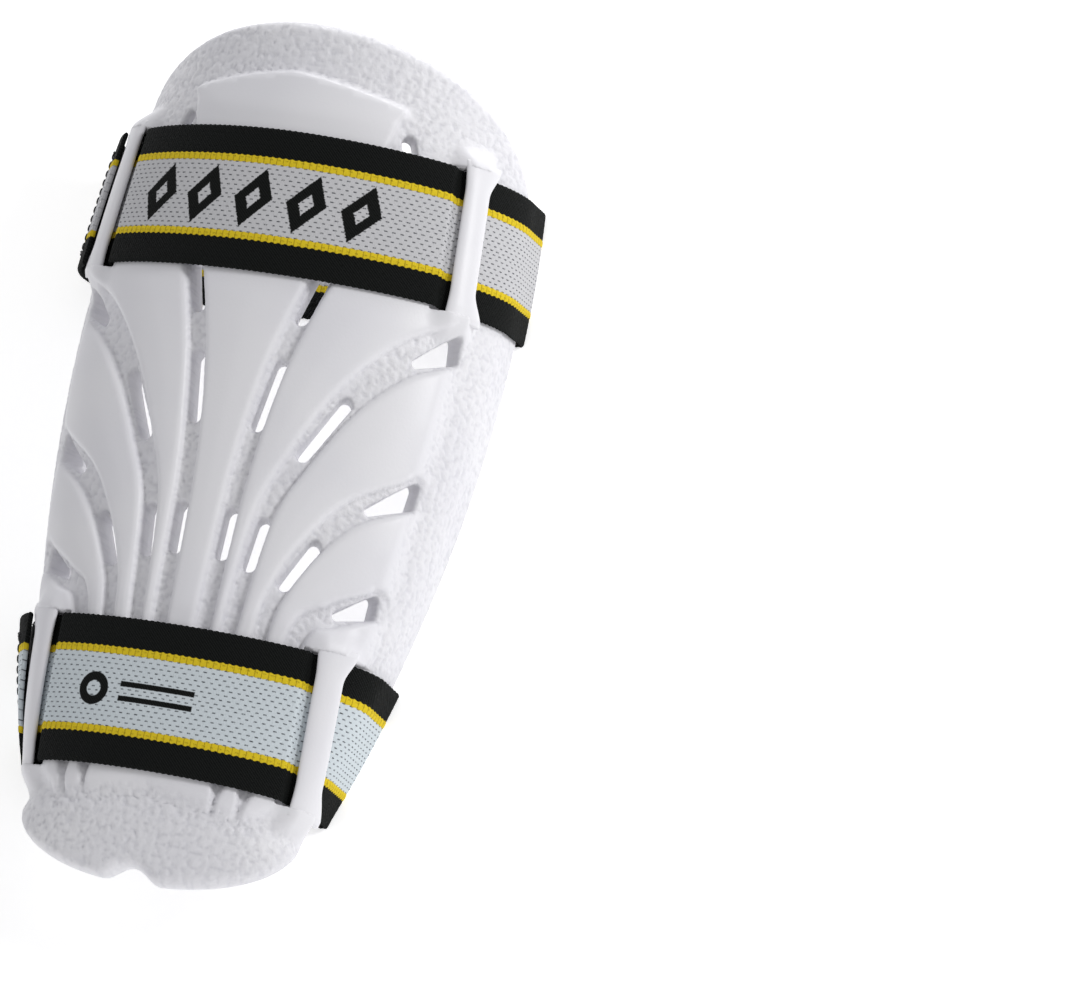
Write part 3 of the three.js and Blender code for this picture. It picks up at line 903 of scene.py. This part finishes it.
def closure_patch(name, strap, margin, low, high, fuzz, material):
    """A patch with soft edges over the foam. fuzz is the roughness of its outer face, or
    of its inner face where it is negative."""
    start, end = closure_s(strap, margin)
    half = WEB_HALF - margin
    middle_y = float(strap["y"])
    columns = int((end(middle_y) - start(middle_y)) / 0.6)
    rows = int(2 * half / 0.6)
    u, v = np.meshgrid(np.linspace(0, 1, columns), np.linspace(0, 1, rows))
    y = strap["y"] + half * (2 * v - 1)
    s = lerp(start(y), end(y), u)
    to_edge = np.minimum(np.minimum(u, 1 - u) * columns, np.minimum(v, 1 - v) * rows) * 0.6
    body = rounded(to_edge / 0.8)
    noise = 0.5 + 0.5 * value_noise(s / 0.55, y / 0.55, 21)
    noise = 0.6 * noise + 0.4 * (0.5 + 0.5 * value_noise(s / 1.9, y / 1.9, 22))
    middle, thick = (low + high) / 2, (high - low) / 2
    top = middle + thick * (0.3 + 0.7 * body) - max(fuzz, 0) * noise
    bottom = middle - thick * (0.3 + 0.7 * body) + max(-fuzz, 0) * noise
    y = bowed(strap, s, y)
    outer = skin(s, y, top).reshape(-1, 3)
    inner = skin(s, y, bottom).reshape(-1, 3)
    return make_object(name, np.vstack([outer, inner]), slab_faces(rows, columns), material)


def bent_rods(name, paths, radius, sides, material, flat=1.0):
    """Short closed rods along paths of points, each thinned at its ends."""
    points, faces = [], []
    for path in paths:
        path = np.asarray(path, float)
        ahead = np.gradient(path, axis=0)
        ahead /= np.linalg.norm(ahead, axis=1)[:, None]
        side = np.cross(ahead, (0.31, 0.12, 0.94))
        side /= np.linalg.norm(side, axis=1)[:, None]
        up = np.cross(side, ahead)
        base = len(points) * sides
        last = len(path) - 1
        for i, here in enumerate(path):
            size = radius * (0.45 if i in (0, last) else 1)
            turn = np.arange(sides) / sides * 2 * math.pi
            ring = np.cos(turn)[:, None] * side[i] + np.sin(turn)[:, None] * up[i] * flat
            points.append(here + size * ring)
        faces += [[base + k for k in face] for face in tube_faces(last + 1, sides)]
    return make_object(name, np.vstack(points), faces, material)


def hooks(name, strap, margin, material):
    """Rows of tiny bent hooks under the hook patch."""
    start, end = closure_s(strap, margin)
    half = WEB_HALF - margin
    paths = []
    for j, dy in enumerate(np.arange(-half, half, 1.5)):
        y = strap["y"] + dy
        for s in np.arange(start(y) + 0.75 * (j % 2), end(y), 1.5):
            profile = [(0, 4.35), (0, 4.1), (0.06, 3.9), (0.26, 3.8), (0.46, 3.9)]
            at = bowed(strap, s, y)
            paths.append([skin(s + ds, at + 0.25 * ds, lift) for ds, lift in profile])
    return bent_rods(name, paths, 0.11, 4, material)


def stitching(name, strap, margin, lift, material):
    """A ring of separate stitches round a patch, each pulled down into the webbing."""
    start, end = closure_s(strap, margin)
    half = WEB_HALF - margin
    low, high = strap["y"] - half, strap["y"] + half
    corners = [(start(low), low), (end(low), low), (end(high), high), (start(high), high)]
    paths = []
    for (s0, y0), (s1, y1) in zip(corners, corners[1:] + corners[:1]):
        length = math.hypot(s1 - s0, y1 - y0)
        count = int(length / 3.0)
        for i in range(count):
            middle = (i + 0.5) / count
            path = []
            for part in (-1, -0.75, -0.3, 0.3, 0.75, 1):
                t = middle + part * 1.2 / length
                rise = 0.34 * (1 - abs(part) ** 3)
                s = lerp(s0, s1, t)
                path.append(skin(s, bowed(strap, s, lerp(y0, y1, t)), lift + rise))
            paths.append(path)
    return bent_rods(name, paths, 0.24, 6, material)


# ---- Materials --------------------------------------------------------------------------


class Shader:
    """A Principled material with short names for the nodes that feed it."""

    def __init__(self, name, **inputs):
        self.material = bpy.data.materials.new(name)
        self.material.use_nodes = True
        self.nodes = self.material.node_tree.nodes
        self.links = self.material.node_tree.links
        self.shader = self.nodes["Principled BSDF"]
        for label, value in inputs.items():
            self.shader.inputs[label.replace("_", " ")].default_value = value

    def feed(self, socket, value):
        if isinstance(value, bpy.types.NodeSocket):
            self.links.new(value, socket)
        else:
            socket.default_value = value

    def math(self, operation, *values, clamp=False):
        node = self.nodes.new("ShaderNodeMath")
        node.operation = operation
        node.use_clamp = clamp
        for socket, value in zip(node.inputs, values):
            self.feed(socket, value)
        return node.outputs[0]

    def between(self, value, low, high):
        """Rises smoothly from 0 to 1 as the value goes from low to high."""
        node = self.nodes.new("ShaderNodeMapRange")
        node.interpolation_type = "SMOOTHSTEP"
        for socket, v in zip(node.inputs, (value, low, high)):
            self.feed(socket, v)
        return node.outputs[0]

    def attribute(self, name):
        node = self.nodes.new("ShaderNodeAttribute")
        node.attribute_name = name
        return node.outputs["Fac"]

    def position(self):
        return self.nodes.new("ShaderNodeTexCoord").outputs["Object"]

    def vector(self, *values):
        node = self.nodes.new("ShaderNodeCombineXYZ")
        for socket, value in zip(node.inputs, values):
            self.feed(socket, value)
        return node.outputs[0]

    def noise(self, where, scale, detail=2.0):
        node = self.nodes.new("ShaderNodeTexNoise")
        node.inputs["Scale"].default_value = scale
        node.inputs["Detail"].default_value = detail
        self.feed(node.inputs["Vector"], where)
        return node.outputs["Fac"]

    def mix(self, share, first, second):
        node = self.nodes.new("ShaderNodeMix")
        node.data_type = "RGBA"
        sockets = [s for s in node.inputs if s.enabled]
        self.feed(sockets[0], share)
        for socket, colour in zip(sockets[1:], (first, second)):
            self.feed(socket, colour if isinstance(colour, bpy.types.NodeSocket) else (*colour, 1))
        return next(s for s in node.outputs if s.enabled)

    def bump(self, height, distance, strength=1.0):
        node = self.nodes.new("ShaderNodeBump")
        node.inputs["Distance"].default_value = distance
        node.inputs["Strength"].default_value = strength
        self.feed(node.inputs["Height"], height)
        self.links.new(node.outputs[0], self.shader.inputs["Normal"])

    def finish(self, colour, roughness):
        self.feed(self.shader.inputs["Base Color"], colour)
        self.feed(self.shader.inputs["Roughness"], roughness)
        return self.material


def foam_material():
    """White moulded foam: satin on the panels, duller and finely grained on the wrinkles, and darkened by
    painted shade in the wrinkles' creases.
    """
    m = Shader("foam_skin", IOR=1.46)
    texture, crease = m.attribute("texture"), m.attribute("crease")
    place = m.position()
    cloud = m.between(m.noise(place, 28.0), 0.3, 0.7)
    fine = m.noise(place, 1100.0, 3.0)
    grain = m.noise(place, 520.0, 3.0)
    unshaded_foam = m.mix(cloud, (0.8, 0.795, 0.825), (0.765, 0.76, 0.8))
    # Painted shade: the crease mask darkens the foam towards a bluish grey, as shade lying in the
    # creases.
    colour = m.mix(m.math("MULTIPLY", crease, 0.3), unshaded_foam, (0.52, 0.52, 0.58))
    roughness = m.math("ADD", 0.36, m.math("MULTIPLY", texture, 0.14))
    roughness = m.math("ADD", roughness, m.math("MULTIPLY", fine, 0.08))
    rough_skin = m.math("MULTIPLY", texture, grain)
    m.bump(m.math("ADD", m.math("MULTIPLY", fine, 0.1), rough_skin), 0.0003)
    return m.finish(colour, roughness)


def webbing_material(name, knit_colour, print_mask):
    """Woven elastic coloured by its place across and along it, in millimetres, with painted shade between
    the yellow cord's beads and painted light on the black twill's ribs.
    """
    m = Shader(name, Specular_IOR_Level=0.15)
    across, distance = m.attribute("across"), m.attribute("along")
    reach = m.math("ABSOLUTE", across)
    place = m.vector(across, distance, 0.0)
    speckle = m.noise(place, 1.6, 3.0)

    wave = m.math("SINE", m.math("MULTIPLY", distance, 2 * math.pi / BEAD))
    edge = m.math("ADD", reach, m.math("MULTIPLY", wave, 0.16))
    inner_edge = m.math("SUBTRACT", reach, m.math("MULTIPLY", wave, 0.1))
    inside_cord = m.between(inner_edge, CORD[0] - 0.15, CORD[0] + 0.05)
    outside_cord = m.between(edge, CORD[1] - 0.2, CORD[1] + 0.05)

    row = m.math("DIVIDE", across, KNIT_ROW)
    number = m.math("FLOOR", row)
    valley = m.math("ABSOLUTE", m.math("SUBTRACT", m.math("FRACT", row), 0.5))
    odd = m.math("FLOORED_MODULO", number, 2.0)
    phase = m.math("ADD", m.math("DIVIDE", distance, 2.5), m.math("MULTIPLY", odd, 0.5))
    phase = m.math("ADD", phase, m.math("MULTIPLY", speckle, 0.35))
    dash = m.math("ABSOLUTE", m.math("SUBTRACT", m.math("FRACT", phase), 0.5))
    deep = m.math("MULTIPLY", m.between(valley, 0.18, 0.05), m.between(dash, 0.27, 0.12))
    knit = m.mix(speckle, knit_colour, [c * 0.86 for c in knit_colour])
    knit = m.mix(m.math("MULTIPLY", deep, m.between(speckle, 0.15, 0.65)), knit, (0.07, 0.075, 0.09))

    # Painted light: the black borders are lighter on the raised twill ribs and darker between them.
    twill = m.math("SINE", m.math("MULTIPLY", m.math("ADD", distance, across), 2 * math.pi / 0.95))
    twill_lit = m.between(m.math("ADD", twill, speckle), 0.2, 1.6)
    black = m.mix(twill_lit, (0.0022, 0.0028, 0.0026), (0.0085, 0.0098, 0.0093))
    # Painted shade and light: the yellow cord is darker in the dips between its beads and lighter on the
    # beads.
    bead_lit = m.math("ABSOLUTE", m.math("COSINE", m.math("MULTIPLY", distance, math.pi / BEAD)))
    bead_lit = m.between(m.math("ADD", bead_lit, m.math("MULTIPLY", speckle, 0.4)), 0.1, 0.6)
    yellow = m.mix(bead_lit, (0.33, 0.22, 0.006), (0.72, 0.54, 0.02))

    on_knit = m.between(reach, CORD[0] - 0.4, CORD[0] - 0.6)
    inked = m.math("MULTIPLY", print_mask(m, across, distance, speckle), on_knit)
    knit = m.mix(inked, knit, black)
    colour = m.mix(inside_cord, knit, yellow)
    colour = m.mix(outside_cord, colour, black)
    relief = m.math("SUBTRACT", m.math("MULTIPLY", speckle, 0.6), m.math("MULTIPLY", deep, 0.9))
    relief = m.math("ADD", relief, m.math("MULTIPLY", twill, m.math("MULTIPLY", outside_cord, 0.35)))
    m.bump(relief, 0.00025)
    return m.finish(colour, 0.82)


def rhombus_row(m, across, distance, speckle):
    """A row of five rhombi along the middle of the knit."""
    pitch = 17.0
    shifted = m.math("ADD", distance, m.math("MULTIPLY", across, -0.3))
    turns = m.math("DIVIDE", m.math("ADD", shifted, pitch / 2), pitch)
    local = m.math("SUBTRACT", m.math("FRACT", turns), 0.5)
    u = m.math("MULTIPLY", m.math("ABSOLUTE", local), pitch / 6.4)
    v = m.math("DIVIDE", m.math("ABSOLUTE", across), 9.6)
    size = m.math("ADD", m.math("ADD", u, v), m.math("MULTIPLY", speckle, 0.16))
    solid = m.between(size, 1.1, 1.04)
    hole = m.between(size, 0.42, 0.48)
    row = m.between(m.math("ABSOLUTE", shifted), 2.5 * pitch, 2.5 * pitch - 0.3)
    return m.math("MULTIPLY", m.math("MULTIPLY", solid, hole), row)


def ring_and_bars(m, across, distance, speckle):
    """A small ring with two thin bars beside it."""
    wobble = m.math("MULTIPLY", speckle, 0.3)
    from_ring = m.math("ADD", distance, 19.0)
    squares = m.math("ADD", m.math("POWER", from_ring, 2.0), m.math("POWER", across, 2.0))
    radius = m.math("SQRT", squares)
    disc = m.between(m.math("ADD", radius, wobble), 5.4, 5.1)
    ring = m.math("MULTIPLY", disc, m.between(radius, 2.3, 2.6))
    near_bar = m.math("ABSOLUTE", m.math("SUBTRACT", m.math("ABSOLUTE", across), 2.3))
    bars = m.between(m.math("ADD", near_bar, wobble), 1.1, 0.85)
    from_middle = m.math("ABSOLUTE", m.math("SUBTRACT", distance, 2.0))
    bars = m.math("MULTIPLY", bars, m.between(from_middle, 12.2, 11.8))
    return m.math("MAXIMUM", ring, bars)


def fibre_material(name, colour, roughness, scale, depth, **inputs):
    """Dark pile, hook tape or thread, mottled finely by its place."""
    m = Shader(name, **inputs)
    mottle = m.noise(m.position(), scale, 3.0)
    shade = m.mix(m.between(mottle, 0.35, 0.65), [c * 0.5 for c in colour], [c * 1.7 for c in colour])
    m.bump(mottle, depth)
    return m.finish(shade, roughness)


def floor_material():
    m = Shader("floor_white", Specular_IOR_Level=0.2, Emission_Color=(1, 1, 1, 1), Emission_Strength=0.48)
    shade = m.mix(m.noise(m.position(), 3.0), (0.9, 0.9, 0.9), (0.92, 0.92, 0.92))
    return m.finish(shade, 0.8)


# ---- Floor, lights and camera -----------------------------------------------------------


def stage_floor(material):
    size = 3.0
    mesh = bpy.data.meshes.new("floor")
    corners = [(-size, -size, 0), (size, -size, 0), (size, size, 0), (-size, size, 0)]
    mesh.from_pydata(corners, [], [(0, 1, 2, 3)])
    mesh.materials.append(material)
    floor = bpy.data.objects.new("floor", mesh)
    bpy.context.scene.collection.objects.link(floor)


def area_light(name, place, aim, size, power, colour=(1, 1, 1)):
    light = bpy.data.lights.new(name, "AREA")
    light.shape = "RECTANGLE"
    light.size, light.size_y = size
    light.energy = power
    light.color = colour
    obj = bpy.data.objects.new(name, light)
    obj.location = place
    obj.rotation_mode = "QUATERNION"
    obj.rotation_quaternion = (Vector(aim) - Vector(place)).to_track_quat("-Z", "Y")
    bpy.context.scene.collection.objects.link(obj)


def unit(v):
    return np.array(v, float) / np.linalg.norm(v)


def add_camera():
    """The camera's distance, tilts, roll and lens, aimed so that its shift is nothing."""
    distance, tilt_right, tilt_wrist, roll = 1.5, 22.22, 17.38, 14.67
    origin = np.array([2.7, 7.75, 15.5]) * MM
    back = unit([math.tan(math.radians(tilt_right)), -math.tan(math.radians(tilt_wrist)), 1])
    right = unit(np.cross([0, 1, 0], back))
    up = np.cross(back, right)
    turn = math.radians(roll)
    across = math.cos(turn) * right + math.sin(turn) * up
    upright = -math.sin(turn) * right + math.cos(turn) * up
    forward = unit(-back + 0.05715 * across - 0.00821 * upright)
    across = unit(across - (across @ forward) * forward)
    upright = np.cross(-forward, across)
    data = bpy.data.cameras.new("camera")
    data.sensor_width = 36
    data.lens = 162.3
    data.clip_start, data.clip_end = 0.05, 20
    camera = bpy.data.objects.new("camera", data)
    axes = np.eye(4)
    axes[:3, 0], axes[:3, 1], axes[:3, 2] = across, upright, -forward
    axes[:3, 3] = origin + distance * back
    camera.matrix_world = Matrix(axes.tolist())
    bpy.context.scene.collection.objects.link(camera)
    bpy.context.scene.camera = camera


# ---- The guard --------------------------------------------------------------------------

# How far each patch and its seam lie inside the edges of the closure
MARGIN = {"loop": 2.5, "hook": 3.5, "loop_thread": 1.3, "hook_thread": 5.5}
PILE_THICK = 1.2
HOOK_TAPE = (4.25, 4.75)
HOOK_BORDER = 1.2
LOOP_SEAM = 1.95
HOOK_SEAM = 6.45


def add_strap(name, strap, web):
    """One strap with its tab and closure, each riding on its body."""
    tab_body = f"{name}_tab"
    front, at = webbing(f"{name}_webbing", strap, strap_stretches(strap), START[name], web)
    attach(front, "guard")
    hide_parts(f"{name}_strap")
    tab, _ = webbing(f"{name}_webbing_tab", strap, tab_stretches(strap), at, web)
    hinge = next(j for j in frame["joints"] if j["child"] == tab_body)
    place, axis = Vector(hinge["pos_m"]), Vector(hinge["axis"]).normalized()
    outwards = axis.cross(Vector((0, 0, 1)))
    outwards = outwards if outwards.x < 0 else -outwards
    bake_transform(tab)
    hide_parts(f"{name}_strap_tab")
    pile_top = LOOP_LIFT + PILE_THICK
    pile = closure_patch(f"{name}_loop_pile", strap, MARGIN["loop"], LOOP_LIFT, pile_top, 0.35, PILE)
    tape = closure_patch(f"{name}_hook_tape", strap, MARGIN["hook"], *HOOK_TAPE, 0, HOOK)
    teeth = hooks(f"{name}_hooks", strap, MARGIN["hook"] + HOOK_BORDER, HOOK)
    loop_seam = stitching(f"{name}_loop_stitches", strap, MARGIN["loop_thread"], LOOP_SEAM, THREAD)
    hook_seam = stitching(f"{name}_hook_stitches", strap, MARGIN["hook_thread"], HOOK_SEAM, THREAD)
    closures = [
        (pile, "loop_patch", "pile", "guard"),
        (tape, "hook_patch", "hook", tab_body),
        (teeth, "hook_patch", "hook", tab_body),
        (loop_seam, "loop_stitching", "thread", "guard"),
        (hook_seam, "hook_stitching", "thread", tab_body),
    ]
    for piece, node, slot, body in closures:
        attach(piece, body)
        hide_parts(f"{name}_{node}")


FOAM_SKIN = foam_material()
PILE = fibre_material(
    "loop_pile", (0.012, 0.013, 0.014), 0.95, 1500.0, 0.0003, Sheen_Weight=0.6, Sheen_Roughness=0.4
)
HOOK = fibre_material("hook_nylon", (0.012, 0.012, 0.013), 0.5, 900.0, 0.0001)
THREAD = fibre_material(
    "black_thread", (0.012, 0.013, 0.013), 0.7, 2500.0, 0.0001, Sheen_Weight=0.3
)
WEBS = {
    "upper": webbing_material("upper_elastic", (0.6, 0.6, 0.62), rhombus_row),
    "lower": webbing_material("lower_elastic", (0.66, 0.72, 0.76), ring_and_bars),
}
# Distance along each strap at its loop end, so that 0 is on the ridge line
START = {
    name: 4 - float(reach_at(edge_y(strap, strap["y"]))) for name, strap in STRAPS.items()
}

foam = foam_shell(FOAM_SKIN)
bars = [
    strap_bar(f"{name}_bar_{side}", strap, side, FOAM_SKIN)
    for name, strap in STRAPS.items()
    for side in (1, -1)
]
joined(foam, bars)
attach(foam, "guard")
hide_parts("foam_shell")
for name, strap in STRAPS.items():
    add_strap(name, strap, WEBS[name])

stage_floor(floor_material())
world = bpy.data.worlds.new("studio")
world.use_nodes = True
world.node_tree.nodes["Background"].inputs["Color"].default_value = (1, 1, 1, 1)
world.node_tree.nodes["Background"].inputs["Strength"].default_value = 0.47
bpy.context.scene.world = world
bpy.context.scene.view_settings.view_transform = "Standard"
area_light("key", (1.15, 0.5, 0.75), (0, 0, 0.03), (0.3, 0.3), 8.8)
area_light("left_fill", (-1.0, 0.5, 0.7), (0, 0, 0.02), (0.8, 0.8), 1.6, (0.93, 0.94, 1.0))
area_light("elbow_end", (0.0, 0.8, 0.1), (0, 0.1, 0.0), (0.35, 0.12), 1.6)
area_light("wrist_end", (0.05, -0.8, 0.1), (0, -0.1, 0.0), (0.35, 0.12), 0.9)
add_camera()
